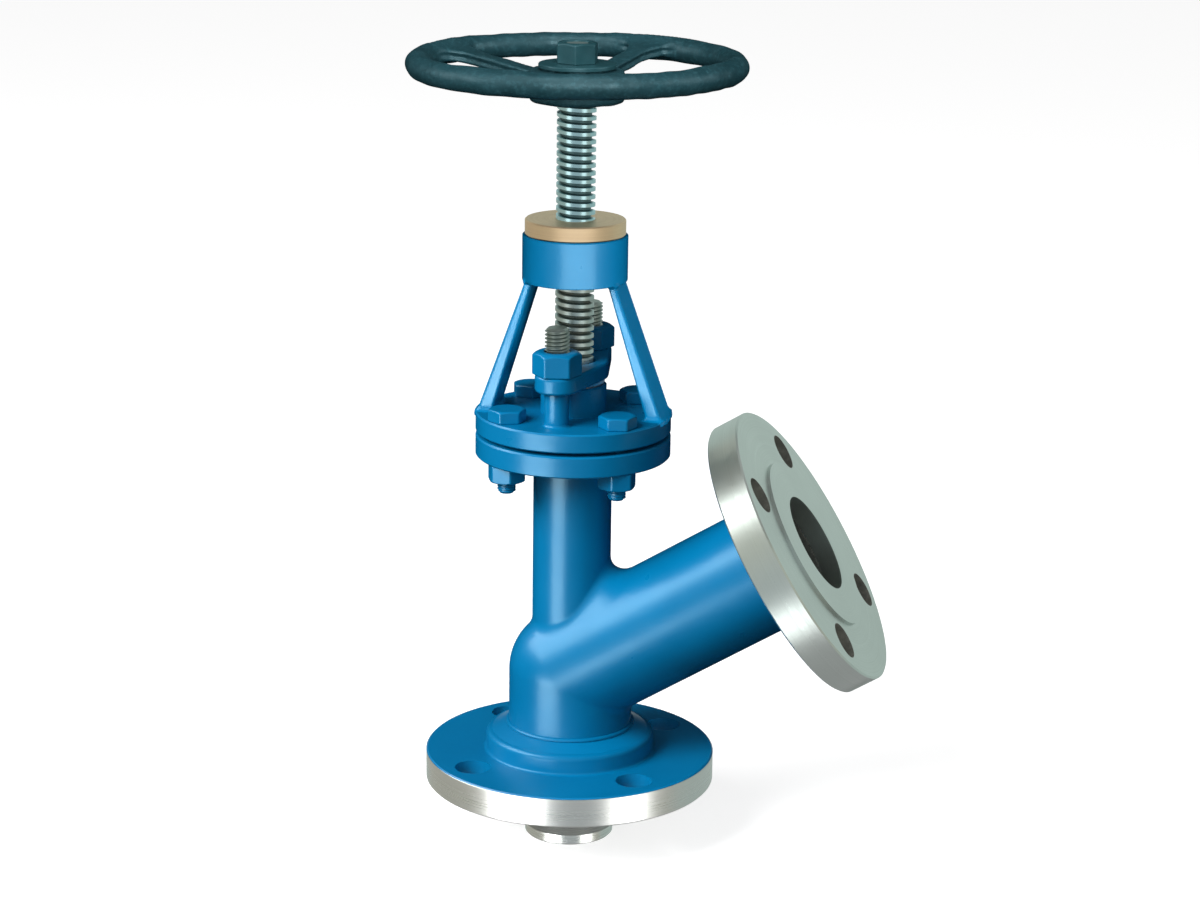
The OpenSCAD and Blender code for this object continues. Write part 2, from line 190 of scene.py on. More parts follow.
# Corners of a grid cell, and pairs of corners that share an edge
CORNERS = np.array([[i >> 2 & 1, i >> 1 & 1, i & 1] for i in range(8)])
CELL_EDGES = [(a, b) for a in range(8) for b in range(a + 1, 8) if abs(CORNERS[a] - CORNERS[b]).sum() == 1]


def grid_step(fine):
    return fine


def slope_of(field, points, h):
    """The field's gradient at some points."""
    steps = []
    for axis in range(3):
        shift = np.zeros(3)
        shift[axis] = h
        steps.append(field(*(points + shift).T) - field(*(points - shift).T))
    return np.array(steps).T / (2 * h)


def surface_of(field, low, high, step):
    """Points, quads and normals of the surface where field is 0, by surface nets on a grid of that step."""
    axes = [np.arange(lo - 1.5 * step, hi + 2.5 * step, step) for lo, hi in zip(low, high)]
    values = field(*np.meshgrid(*axes, indexing="ij"))
    inside = values < 0
    nx, ny, nz = (n - 1 for n in values.shape)
    filled = sum(inside[i:i + nx, j:j + ny, k:k + nz].astype(np.int8) for i, j, k in CORNERS)
    cells = np.argwhere((filled > 0) & (filled < 8))
    number = -np.ones((nx, ny, nz), np.int64)
    number[tuple(cells.T)] = np.arange(len(cells))
    at_corner = [values[tuple((cells + c).T)] for c in CORNERS]
    total, crossings = np.zeros((len(cells), 3)), np.zeros(len(cells))
    for a, b in CELL_EDGES:
        va, vb = at_corner[a], at_corner[b]
        cut = (va < 0) != (vb < 0)
        share = np.where(cut, va / np.where(cut, va - vb, 1), 0)[:, None]
        total += np.where(cut[:, None], CORNERS[a] + share * (CORNERS[b] - CORNERS[a]), 0)
        crossings += cut
    points = np.array([ax[0] for ax in axes]) + (cells + total / crossings[:, None]) * step
    quads = []
    for axis in range(3):
        b, c = np.eye(3, dtype=int)[(axis + 1) % 3], np.eye(3, dtype=int)[(axis + 2) % 3]
        first = np.take(inside, range(inside.shape[axis] - 1), axis)
        second = np.take(inside, range(1, inside.shape[axis]), axis)
        edges = np.argwhere(first != second)
        ring = [number[tuple((edges - shift).T)] for shift in (b + c, c, 0 * b, b)]
        out = np.array(ring).T
        leaves = first[tuple(edges.T)]
        quads.append(np.where(leaves[:, None], out, out[:, ::-1]))
    for _ in range(3):
        slope = slope_of(field, points, step * 0.1)
        move = field(*points.T)[:, None] * slope / np.maximum((slope ** 2).sum(1), 0.2)[:, None]
        points -= np.clip(move, -step / 2, step / 2)
    slope = slope_of(field, points, step * 0.1)
    return points, np.concatenate(quads), slope / np.maximum(np.linalg.norm(slope, axis=1), 1e-9)[:, None]


def make_mesh(name, parts):
    """One Blender mesh from several (points, faces, normals). Sharp-edged shapes have None for normals."""
    points, faces, start = [], [], 0
    for part in parts:
        points.append(part[0])
        faces += [tuple(int(i) + start for i in f) for f in part[1]]
        start += len(part[0])
    mesh = bpy.data.meshes.new(name)
    mesh.from_pydata((np.concatenate(points) * MM).tolist(), [], faces)
    mesh.validate()
    mesh.shade_smooth()
    if all(part[2] is not None for part in parts):
        mesh.normals_split_custom_set_from_vertices(np.concatenate([p[2] for p in parts]).tolist())
    else:
        mesh.set_sharp_from_angle(angle=math.radians(32))
    return mesh


def lathe(profile, segments=128, place=None):
    """Closed solid turned about Z from a closed outline of (radius, height)."""
    outline = np.array(profile, float)
    radius, height = outline.T
    n = len(outline)
    turns = np.arange(segments) * TAU / segments
    rings = [np.stack([radius * math.cos(t), radius * math.sin(t), height], 1) for t in turns]
    points = np.concatenate(rings)
    faces = []
    for i in range(segments):
        here, there = i * n, (i + 1) % segments * n
        for k in range(n):
            m = (k + 1) % n
            faces.append((here + k, there + k, there + m, here + m))
    if place is not None:
        points = points @ place[0].T + place[1]
    return points, faces, None


def rod(low_r, high_r, low, high, segments):
    """Solid bar along Z. It is a cone where its two radii differ."""
    return lathe([(AXIS_GAP, low), (low_r, low), (high_r, high), (AXIS_GAP, high)], segments)


def arc(cx, cy, r, start, end, count=6):
    """Points of an arc in an outline, angles in degrees."""
    return [(cx + r * math.cos(math.radians(a)), cy + r * math.sin(math.radians(a)))
            for a in np.linspace(start, end, count)]


def threaded(radius, depth, pitch, low, high, hand, crest=0.42, runout=(0, 0), segments=96):
    """Closed rod along Z with a trapezoidal thread. hand is 1 for right and -1 for left."""
    root = 0.28
    flank = (1 - crest - root) / 2
    # The radius at some shares of a pitch: a crest, a flank, a root, a flank and the crest again
    knots = [0, crest / 2 - 0.03, crest / 2, crest / 2 + flank, 0.5, 1 - crest / 2 - flank, 1 - crest / 2,
             1 - crest / 2 + 0.03]
    heights = [radius, radius, radius - 0.08 * depth, radius - depth, radius - depth, radius - depth,
               radius - 0.08 * depth, radius]

    def reach(turn, z):
        phase = (z / pitch - hand * turn) % 1
        r = np.interp(phase, knots + [1], heights + [radius])
        for end, length, sign in ((low, runout[0], 1), (high, runout[1], -1)):
            if length:
                share = np.clip(sign * (z - end) / length, 0, 1)
                r = r * share + radius * (1 - share)
        return r

    first, last = math.floor(low / pitch) - 2, math.ceil(high / pitch) + 2
    levels = np.array([k + q for k in range(first, last) for q in knots])
    columns = []
    for j in range(segments):
        turn = j / segments
        z = np.clip((levels + hand * turn) * pitch, low, high)
        r = reach(turn, z)
        columns.append(np.stack([r * math.cos(turn * TAU), r * math.sin(turn * TAU), z], 1))
    points = np.concatenate(columns)
    n, shift = len(levels), hand * len(knots)
    faces = []
    for j in range(segments):
        wrap = shift if j == segments - 1 else 0
        other = (j + 1) % segments * n
        for k in range(n - 1):
            a, b = k + wrap, k + 1 + wrap
            if 0 <= a and b < n:
                faces.append((j * n + k, other + a, other + b, j * n + k + 1))
    kept = []
    for f in faces:
        zs = [points[i][2] for i in f]
        if max(zs) - min(zs) > 1e-9:
            kept.append(f)
    return weld_ends(points, kept, low, high)


def weld_ends(points, faces, low, high):
    """Merges equal points, and closes the two open ends with fans."""
    keys, index = np.unique(np.round(points, 5), axis=0, return_inverse=True)
    index = index.ravel()
    closed = []
    for f in faces:
        corners = []
        for i in f:
            if index[i] not in corners:
                corners.append(index[i])
        if len(corners) > 2:
            closed.append(tuple(corners))
    for end, flip in ((low, True), (high, False)):
        ring = [i for i in range(len(keys)) if abs(keys[i][2] - end) < 1e-4]
        ring.sort(key=lambda i: math.atan2(keys[i][1], keys[i][0]))
        keys = np.vstack([keys, [keys[ring, 0].mean(), keys[ring, 1].mean(), end]])
        hub = len(keys) - 1
        for a, b in zip(ring, ring[1:] + ring[:1]):
            closed.append((hub, b, a) if flip else (hub, a, b))
    return keys, closed, None


def moved(part, offset=(0, 0, 0), angle=0.0):
    """A part turned about Z, then shifted."""
    c, s = math.cos(angle), math.sin(angle)
    turn = np.array([[c, -s, 0], [s, c, 0], [0, 0, 1]])
    normals = None if part[2] is None else part[2] @ turn.T
    return part[0] @ turn.T + np.array(offset), part[1], normals


def add_piece(name, parts, body, material, replaces=()):
    mesh = make_mesh(name, parts)
    mesh.materials.append(material)
    obj = bpy.data.objects.new(name, mesh)
    bpy.context.scene.collection.objects.link(obj)
    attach(obj, body)
    if replaces:
        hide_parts(*replaces)
    return obj


# ---------------------------------------------------------------- materials


class Shader:
    """A node material around one Principled shader."""

    def __init__(self, name, **sockets):
        self.material = bpy.data.materials.new(name)
        self.material.use_nodes = True
        self.tree = self.material.node_tree
        self.tree.nodes.clear()
        self.bsdf = self.tree.nodes.new("ShaderNodeBsdfPrincipled")
        out = self.tree.nodes.new("ShaderNodeOutputMaterial")
        self.link(self.bsdf.outputs[0], out.inputs[0])
        for key, value in sockets.items():
            self.bsdf.inputs[key.replace("_", " ")].default_value = value

    def link(self, a, b):
        self.tree.links.new(a, b)

    def node(self, kind, **settings):
        made = self.tree.nodes.new("ShaderNode" + kind)
        for key, value in settings.items():
            setattr(made, key, value)
        return made

    def place(self):
        return self.node("TexCoord").outputs["Object"]

    def noise(self, where, scale, detail=3.0, rough=0.5):
        made = self.node("TexNoise")
        self.link(where, made.inputs["Vector"])
        made.inputs["Scale"].default_value = scale
        made.inputs["Detail"].default_value = detail
        made.inputs["Roughness"].default_value = rough
        return made.outputs["Fac"]

    def math(self, operation, a, b=None, clamp=False):
        made = self.node("Math", operation=operation, use_clamp=clamp)
        for socket, value in zip(made.inputs, (a, b)):
            if value is None:
                continue
            if isinstance(value, (int, float)):
                socket.default_value = value
            else:
                self.link(value, socket)
        return made.outputs[0]

    def ramp(self, value, low, high, to_low=0.0, to_high=1.0):
        """value from low..high to to_low..to_high, held at both ends."""
        made = self.node("MapRange", clamp=True)
        self.link(value, made.inputs["Value"])
        for key, number in (("From Min", low), ("From Max", high), ("To Min", to_low), ("To Max", to_high)):
            made.inputs[key].default_value = number
        return made.outputs["Result"]

    def mix(self, share, a, b):
        made = self.node("Mix", data_type="RGBA")
        if isinstance(share, (int, float)):
            made.inputs[0].default_value = share
        else:
            self.link(share, made.inputs[0])
        for socket, value in ((made.inputs[6], a), (made.inputs[7], b)):
            if isinstance(value, tuple):
                socket.default_value = (*value, 1)
            else:
                self.link(value, socket)
        return made.outputs[2]

    def axes(self, where):
        made = self.node("SeparateXYZ")
        self.link(where, made.inputs[0])
        return made.outputs

    def bump(self, height, strength, distance, under=None):
        made = self.node("Bump")
        made.inputs["Strength"].default_value = strength
        made.inputs["Distance"].default_value = distance
        self.link(height, made.inputs["Height"])
        if under is not None:
            self.link(under, made.inputs["Normal"])
        return made.outputs[0]

    def radius(self, where):
        """Distance from the Z axis."""
        x, y = self.axes(where)[0], self.axes(where)[1]
        square = self.math("ADD", self.math("MULTIPLY", x, x), self.math("MULTIPLY", y, y))
        return self.math("SQRT", square)

    def marks(self, where, scale):
        """Fine lines round the Z axis, as a lathe tool leaves them."""
        pair = self.node("CombineXYZ")
        self.link(self.radius(where), pair.inputs[0])
        self.link(self.axes(where)[2], pair.inputs[1])
        return self.noise(pair.outputs[0], scale, 4.0, 0.65)

    def near_holes(self, where):
        """1 on the walls of a flange's bolt holes."""
        x, y = (self.math("SUBTRACT", self.math("ABSOLUTE", v), HOLE_AT * MM) for v in self.axes(where)[:2])
        square = self.math("ADD", self.math("MULTIPLY", x, x), self.math("MULTIPLY", y, y))
        return self.math("LESS_THAN", self.math("SQRT", square), (HOLE_R + 0.15) * MM)

    def on_branch(self):
        """Coordinates with Z along the branch axis, from the point where it meets the stem axis."""
        made = self.node("Mapping", vector_type="TEXTURE")
        made.inputs["Location"].default_value = (0, 0, ELBOW_Z * MM)
        made.inputs["Rotation"].default_value = (0, math.pi / 2 - BRANCH_RISE, 0)
        self.link(self.place(), made.inputs["Vector"])
        return made.outputs[0]

    def feed(self, socket, value):
        self.link(value, self.bsdf.inputs[socket])


BLUE = (0.0, 0.146, 0.325)
BLUE_DEEP = (0.0, 0.130, 0.292)
GLOSS_TINT = (0.62, 0.93, 1.0, 1)
PAINT_IOR = 1.52
PAINT_SMOOTHEST, PAINT_DULLEST, FLANGE_PAINT_ROUGHNESS = 0.27, 0.34, 0.31
RAW_IRON, RAW_IRON_DEEP = (0.20, 0.20, 0.175), (0.09, 0.09, 0.08)
TURNED_STEEL = (0.66, 0.67, 0.655)
IRON_GLOSS_TINT = (0.55, 0.9, 1.0, 1)
# Greasy thread: the root colour is grease with painted shade of the grooves in it, the crest colour is
# greasy steel
ROOT_GREASE_AND_SHADE, GREASY_CREST = (0.13, 0.14, 0.12), (0.42, 0.47, 0.44)


def paint_colour(s, where):
    """Satin enamel: faintly uneven colour, from brush and spray."""
    cloud = s.ramp(s.noise(where, 22, 4), 0.35, 0.68)
    return s.mix(cloud, BLUE_DEEP, BLUE)


def paint_bump(s, where):
    peel = s.bump(s.noise(where, 520, 2), 0.10, 0.0003)
    return s.bump(s.noise(where, 70, 2), 0.16, 0.0008, peel)


def paint_roughness(s, where):
    return s.ramp(s.noise(where, 48, 3), 0.3, 0.7, PAINT_SMOOTHEST, PAINT_DULLEST)


def raw_colour(s, where):
    return s.mix(s.ramp(s.noise(where, 160, 5, 0.7), 0.3, 0.7), RAW_IRON_DEEP, RAW_IRON)


def blue_enamel():
    s = Shader("blue_enamel", Metallic=0.0, IOR=PAINT_IOR, Specular_Tint=GLOSS_TINT)
    where = s.place()
    s.feed("Base Color", paint_colour(s, where))
    s.feed("Roughness", paint_roughness(s, where))
    s.feed("Normal", paint_bump(s, where))
    return s.material


def body_paint():
    """Enamel outside, raw casting in the bores."""
    s = Shader("body_paint", Metallic=0.0, IOR=PAINT_IOR, Specular_Tint=GLOSS_TINT)
    where, on_branch = s.place(), s.on_branch()
    high = s.math("GREATER_THAN", s.axes(where)[2], ELBOW_Z * MM)
    bore = s.ramp(high, 0, 1, (RUN_BORE_R + 1) * MM, (NECK_BORE_R + 1) * MM)
    upright = s.math("LESS_THAN", s.radius(where), bore)
    beyond = s.math("GREATER_THAN", s.axes(on_branch)[2], 0.0)
    aside = s.math("MULTIPLY", beyond, s.math("LESS_THAN", s.radius(on_branch), (BRANCH_BORE_R + 1) * MM))
    raw = s.math("MAXIMUM", upright, aside)
    s.feed("Base Color", s.mix(raw, paint_colour(s, where), raw_colour(s, where)))
    s.feed("Roughness", s.math("ADD", paint_roughness(s, where), s.math("MULTIPLY", raw, 0.3)))
    s.feed("Normal", paint_bump(s, where))
    return s.material


def flange_metal(name, where_of, painted, tint, smooth, dark_hole_walls=False):
    """Bare turned steel, with enamel wherever painted(shader, place) is 1."""
    s = Shader(name)
    where = where_of(s)
    marks = s.marks(where, 1500)
    stain = s.ramp(s.noise(where, 30, 4), 0.35, 0.7)
    metal = s.mix(stain, tuple(c * 0.93 for c in tint), tint)
    metal = s.mix(s.ramp(marks, 0.3, 0.7, 0, 0.35), metal, tuple(c * 0.82 for c in tint))
    mask = painted(s, where)
    skin = s.mix(mask, metal, paint_colour(s, s.place()))
    if dark_hole_walls:
        # The walls of the bolt holes get the dark, dull colour of the body's bores
        dark = s.near_holes(where)
        skin = s.mix(dark, skin, raw_colour(s, s.place()))
        mask = s.math("MAXIMUM", mask, dark)
    s.feed("Base Color", skin)
    s.feed("Metallic", s.math("SUBTRACT", 1.0, mask))
    rough = s.ramp(marks, 0.3, 0.7, smooth, smooth + 0.12)
    both = s.node("Mix", data_type="FLOAT")
    s.link(mask, both.inputs[0])
    s.link(rough, both.inputs[2])
    both.inputs[3].default_value = FLANGE_PAINT_ROUGHNESS
    s.feed("Roughness", both.outputs[0])
    s.feed("Normal", s.bump(marks, 0.10, 0.0002, s.bump(s.noise(s.place(), 520, 2), 0.05, 0.0002)))
    return s.material


def tank_paint(s, where):
    """The top of the tank flange and its holes are painted, its rim and its face are bare."""
    inner = s.math("LESS_THAN", s.radius(where), (FLANGE_R - 0.6) * MM)
    above = s.math("GREATER_THAN", s.axes(where)[2], 0.6 * MM)
    top = s.math("GREATER_THAN", s.axes(where)[2], (TANK_PLATE_TOP - 0.7) * MM)
    return s.math("MAXIMUM", s.math("MULTIPLY", inner, above), top)


def outlet_paint(s, where):
    """Only the back of the outlet flange is painted."""
    inner = s.math("LESS_THAN", s.radius(where), (FLANGE_R - 0.6) * MM)
    back = s.math("LESS_THAN", s.axes(where)[2], (OUTLET_BACK + 0.5) * MM)
    return s.math("MULTIPLY", inner, back)


def follower_paint(s, where):
    """Only what stands above the stuffing box was painted."""
    return s.math("GREATER_THAN", s.axes(where)[2], (GLAND_BOX_TOP + 0.2) * MM)


def turned_metal(name, tint, roughness, scale=1400, strength=0.12):
    s = Shader(name, Metallic=1.0)
    where = s.place()
    marks = s.marks(where, scale)
    stain = s.ramp(s.noise(where, 55, 4), 0.35, 0.7)
    base = s.mix(stain, tuple(c * 0.9 for c in tint), tint)
    s.feed("Base Color", s.mix(s.ramp(marks, 0.3, 0.7, 0, 0.4), base, tuple(c * 0.75 for c in tint)))
    s.feed("Roughness", s.ramp(marks, 0.3, 0.7, roughness, roughness + 0.14))
    s.feed("Normal", s.bump(marks, strength, 0.0002))
    return s.material


def thread_metal(name, tint, root_dirt_and_shade, root_r, crest_r, roughness, grease_below=None):
    """Thread: bright on the crests, darker towards the roots, from grease and grime and also from painted
    shade in the grooves.
    """
    s = Shader(name, Metallic=1.0)
    where = s.place()
    # From root to crest: the roots take the darker colour, which is partly grime and partly painted shade
    depth = s.ramp(s.radius(where), root_r * MM, crest_r * MM)
    marks = s.marks(where, 1800)
    clean = s.mix(s.ramp(marks, 0.3, 0.7, 0, 0.3), tint, tuple(c * 0.7 for c in tint))
    colour = s.mix(depth, root_dirt_and_shade, clean)
    dull = s.math("MULTIPLY", marks, 0.05)
    if grease_below is not None:
        low = s.ramp(s.axes(where)[2], (grease_below + 6) * MM, (grease_below - 6) * MM)
        smear = s.math("MULTIPLY", low, s.ramp(s.noise(where, 130, 3), 0.3, 0.7, 0.55, 1.0))
        # Below the bush the thread is greasier, and its roots darker still with painted shade
        colour = s.mix(smear, colour, s.mix(depth, ROOT_GREASE_AND_SHADE, GREASY_CREST))
        dull = s.math("MULTIPLY", smear, 0.2)
    s.feed("Base Color", colour)
    s.feed("Roughness", s.math("ADD", s.ramp(depth, 0, 1, roughness + 0.25, roughness), dull))
    s.feed("Normal", s.bump(marks, 0.12, 0.0002))
    return s.material


def cast_iron():
    s = Shader("cast_iron_paint", Metallic=0.0, IOR=1.55, Specular_Tint=IRON_GLOSS_TINT)
    where = s.place()
    grain = s.noise(where, 420, 5, 0.7)
    lumps = s.noise(where, 90, 3, 0.6)
    cloud = s.ramp(s.noise(where, 24, 4), 0.3, 0.7)
    base = s.mix(cloud, (0.007, 0.030, 0.037), (0.013, 0.053, 0.066))
    s.feed("Base Color", s.mix(s.ramp(grain, 0.5, 0.75), base, (0.024, 0.084, 0.102)))
    s.feed("Roughness", s.ramp(lumps, 0.3, 0.7, 0.36, 0.55))
    s.feed("Normal", s.bump(grain, 0.35, 0.0004, s.bump(lumps, 0.5, 0.0012)))
    return s.material


def dark_oxide():
    s = Shader("dark_oxide", Metallic=0.0, IOR=1.5, Specular_Tint=IRON_GLOSS_TINT)
    where = s.place()
    cloud = s.ramp(s.noise(where, 60, 4), 0.3, 0.7)
    s.feed("Base Color", s.mix(cloud, (0.010, 0.042, 0.050), (0.018, 0.068, 0.080)))
    s.feed("Roughness", s.ramp(s.noise(where, 160, 3), 0.3, 0.7, 0.32, 0.48))
    s.feed("Normal", s.bump(s.noise(where, 380, 3), 0.12, 0.0003))
    return s.material


def graphite():
    s = Shader("graphite", Metallic=0.0)
    where = s.place()
    s.feed("Base Color", s.mix(s.noise(where, 500, 4), (0.02, 0.02, 0.022), (0.06, 0.06, 0.065)))
    s.feed("Roughness", s.ramp(s.noise(where, 300, 3), 0.3, 0.7, 0.6, 0.85))
    s.feed("Normal", s.bump(s.noise(where, 900, 3), 0.3, 0.0003))
    return s.material


ENAMEL = blue_enamel()
CASTING = body_paint()
TANK_METAL = flange_metal("tank_flange_finish", Shader.place, tank_paint, TURNED_STEEL, 0.24)
OUTLET_METAL = flange_metal("outlet_flange_finish", Shader.on_branch, outlet_paint, (0.62, 0.68, 0.65),
                            0.27, dark_hole_walls=True)
FOLLOWER = flange_metal("gland_follower_finish", Shader.place, follower_paint, TURNED_STEEL, 0.22)
STAINLESS = turned_metal("stainless", (0.68, 0.70, 0.68), 0.18)
BRONZE = turned_metal("bronze", (0.84, 0.64, 0.42), 0.40)
PLAIN_STEEL = turned_metal("plain_steel", (0.50, 0.52, 0.48), 0.34)
# The third colour of each thread is its root colour: grime together with painted shade in the grooves
STEM_METAL = thread_metal("stem_metal", (0.47, 0.70, 0.75), (0.10, 0.17, 0.18), STEM_R - THREAD_DEPTH,
                          STEM_R - 0.3, 0.24, grease_below=RING_LOW + 8)
STUD_METAL = thread_metal("stud_metal", (0.30, 0.36, 0.34), (0.08, 0.09, 0.08), STUD_R - 1.2,
                          STUD_R - 0.1, 0.42)
CAST_IRON = cast_iron()
DARK_OXIDE = dark_oxide()
GRAPHITE = graphite()

FINISHES = {
    "tank_flange": TANK_METAL, "outlet_flange": OUTLET_METAL, "neck_flange": ENAMEL, "seat_ring": STAINLESS,
    "bonnet_gasket": GRAPHITE, "bonnet_plate": ENAMEL, "stuffing_box": ENAMEL, "guide_bush": BRONZE,
    "packing_rings": GRAPHITE, "gland_follower": FOLLOWER, "yoke_ring": ENAMEL, "yoke_bush": BRONZE,
    "bush_screw": PLAIN_STEEL, "disc": STAINLESS, "disc_nut": STAINLESS, "handwheel_washer": DARK_OXIDE,
}
for node, material in FINISHES.items():
    for holder in frame["nodes"][node].material_slots:
        holder.material = material


def add_enamelled(name, parts, replaces=(), body="valve_body"):
    """A piece in blue enamel all over."""
    add_piece(name, parts, body, ENAMEL, replaces)


# ---------------------------------------------------------------- body


def along_branch(x, z):
    """Distance along the branch axis, and across it in the plane of stem and branch."""
    up = z - ELBOW_Z
    return x * BRANCH[0] + up * BRANCH[2], up * BRANCH[0] - x * BRANCH[2]


def body_field(x, y, z):
    s, across = along_branch(x, z)
    from_axis = np.hypot(x, y)
    from_branch = np.hypot(y, across)
    ball = np.sqrt(x * x + y * y + (z - ELBOW_Z) ** 2)
    lower = np.maximum(from_axis - RUN_R, slab(z, SOCKET_Z, ELBOW_Z))
    branch = np.maximum(from_branch - RUN_R, slab(s, 0, PIPE_END))
    neck = np.maximum(from_axis - NECK_R, slab(z, ELBOW_Z, NECK_FLANGE_LOW + 6.2))
    small, large = 3.0, 12.5
    # The two pipes run into each other at the sides, so the round in their crease fades away there
    alike = (y * y - x * across * BRANCH[2]) / np.maximum(from_axis * from_branch, 1e-6)
    crease = small * np.clip(2 * (1 - alike), 0, 1)
    elbow = np.minimum(ball - RUN_R, fillet(lower, branch, crease))
    # The neck stands on the ball with a small round, which grows large in the crotch, on the branch's side
    growth_start, growth_length = 3, 22
    share = np.clip((x - growth_start) / growth_length, 0, 1)
    outside = fillet(elbow, neck, small + (large - small) * share * share * (3 - 2 * share))
    # The smallest of the four bores is the hollow
    hollow = np.minimum(ball - RUN_BORE_R, np.maximum(from_axis - RUN_BORE_R, z - ELBOW_Z))
    hollow = np.minimum(hollow, np.maximum(from_branch - BRANCH_BORE_R, -s))
    hollow = np.minimum(hollow, np.maximum(from_axis - NECK_BORE_R, ELBOW_Z - z))
    return np.maximum(outside, -hollow)


def build_body():
    casting = surface_of(body_field, *span("body"), grid_step(1.25))
    add_piece("body_casting", [casting], "valve_body", CASTING, ["body"])


def bead(radius, size):
    """Outline of a concave weld in the corner between a pipe and a plate, whose face is at height 0."""
    inside, sunk = radius - 1.5, -1.0
    outline = [(inside, sunk), (radius + size, sunk)]
    outline += arc(radius + size, size, size, 270, 180, 7)
    return outline + [(inside, size)]


def build_collar():
    """Collar of the tank flange: a toe on the plate, a soft shoulder, a hollow, and a weld on the body."""
    toe, shoulder, hollow, weld = 1.6, 3.0, 6.4, 1.3
    rim = COLLAR_R + 0.1
    inside, sunk = RUN_R - 1, TANK_PLATE_TOP - 0.5
    outline = [(inside, sunk), (rim + toe, sunk)]
    outline += arc(rim + toe, TANK_PLATE_TOP + toe, toe, 270, 180)
    outline += arc(rim - shoulder, COLLAR_TOP - shoulder + 0.2, shoulder, 0, 80, 9)
    outline += arc(RUN_R + 6.0, WELD_TOP + 3.2, hollow, 262, 218)
    outline += arc(RUN_R + 0.3, WELD_TOP + 0.1, weld, 0, 80, 5)
    outline += [(inside, WELD_TOP + 1.2)]
    add_enamelled("tank_flange_collar", [lathe(outline)])


def build_welds():
    """The pipe's weld behind the outlet flange, and the neck's under the neck flange."""
    upside_down = np.diag([1.0, -1.0, -1.0])
    along = np.array(Euler((0, math.pi / 2 - BRANCH_RISE, 0)).to_matrix())
    outlet = (along @ upside_down, np.array([0, 0, ELBOW_Z]) + BRANCH * OUTLET_BACK)
    add_enamelled("outlet_weld", [lathe(bead(RUN_R, 3.0), place=outlet)])
    neck = (upside_down, np.array([0, 0, NECK_FLANGE_LOW]))
    add_enamelled("neck_weld", [lathe(bead(NECK_R, 2.0), place=neck)])


# ---------------------------------------------------------------- bonnet and yoke


def arm_field(x, y, z):
    """Right yoke arm. Its welds at foot and head reach a little way into the plate and the ring."""
    foot_out = math.sqrt(PLATE_R ** 2 - ARM_HALF_W ** 2) - 0.5
    head_out = math.sqrt(RING_R ** 2 - ARM_HALF_W ** 2) - 0.05
    rise = RING_LOW - PLATE_TOP
    share = (z - PLATE_TOP) / rise
    outer = foot_out + (head_out - foot_out) * share
    inner = foot_out - ARM_FOOT_T + (head_out - ARM_HEAD_T - foot_out + ARM_FOOT_T) * share
    lean = math.cos(math.atan((foot_out - head_out) / rise))
    bar = np.maximum((x - outer) * lean, (inner - x) * lean)
    bar = rounded(bar, abs(y) - ARM_HALF_W, 1.3)
    sunk = 0.06
    plate = np.maximum(z - PLATE_TOP + sunk, np.hypot(x, y) - PLATE_R + sunk)
    ring = np.maximum(RING_LOW + sunk - z, np.hypot(x, y) - RING_R + sunk)
    foot_weld, head_weld = 3.0, 2.0
    joined = fillet(fillet(bar, plate, foot_weld), ring, head_weld)
    near_bar = bar - 4.0
    depth = 2.4
    return np.maximum(np.maximum(joined, near_bar), slab(z, PLATE_TOP - depth, RING_LOW + depth))


def build_yoke():
    low, high = span("yoke_arm_right")
    points, faces, normals = surface_of(arm_field, low - [5, 5, 3], high + [3, 5, 3], grid_step(0.8))
    add_enamelled("yoke_right", [(points, faces, normals)], ["yoke_arm_right"])
    half_turn = np.diag([-1.0, -1.0, 1.0])
    add_enamelled("yoke_left", [(points @ half_turn, faces, normals @ half_turn)], ["yoke_arm_left"])


# Each bolt head and nut stopped at its own angle when it was tightened, in degrees
BOLT_TURNS = ((4, 17), (-13, 8), (21, -6), (10, 26))
HEX_STEP = grid_step(0.5)


def build_bonnet_bolts():
    head_low, head_high = PLATE_TOP, PLATE_TOP + BONNET_HEAD_H
    nut_low, nut_high = span("bonnet_nuts")[0][2], span("bonnet_nuts")[1][2]
    rod_low = span("bonnet_bolts")[0][2]

    def head(x, y, z):
        return hex_block(x, y, z, BONNET_AF, head_low, head_high, True, False)

    def nut(x, y, z):
        block = hex_block(x, y, z, BONNET_AF, nut_low, nut_high, False, True)
        return rounded(block, BONNET_BOLT_R - np.hypot(x, y), 0.6)

    half = BONNET_AF / math.sqrt(3)
    head_part = surface_of(head, (-half, -half, head_low), (half, half, head_high), HEX_STEP)
    nut_part = surface_of(nut, (-half, -half, nut_low), (half, half, nut_high), HEX_STEP)
    segments = 48
    shank = rod(BONNET_BOLT_R, BONNET_BOLT_R, nut_low, head_low + 1, segments)
    tip = threaded(BONNET_BOLT_R - 0.02, BONNET_THREAD_DEPTH, BONNET_PITCH, rod_low + 1.2, nut_low + 3, 1,
                   segments=segments)
    chamfer = rod(BONNET_BOLT_R - 1.4, BONNET_BOLT_R - 0.5, rod_low, rod_low + 1.3, segments)
    heads, nuts, rods = [], [], []
    for i, (head_turn, nut_turn) in enumerate(BOLT_TURNS):
        angle = TAU / 8 + i * TAU / 4
        at = (BONNET_PCD / 2 * math.cos(angle), BONNET_PCD / 2 * math.sin(angle), 0)
        heads.append(moved(head_part, at, math.radians(head_turn)))
        nuts.append(moved(nut_part, at, math.radians(nut_turn)))
        rods += [moved(shank, at), moved(tip, at), moved(chamfer, at)]
    add_enamelled("bonnet_bolt_heads", heads, ["bonnet_bolts"])
    add_enamelled("bonnet_bolt_rods", rods)
    add_enamelled("bonnet_bolt_nuts", nuts, ["bonnet_nuts"])


# ---------------------------------------------------------------- gland


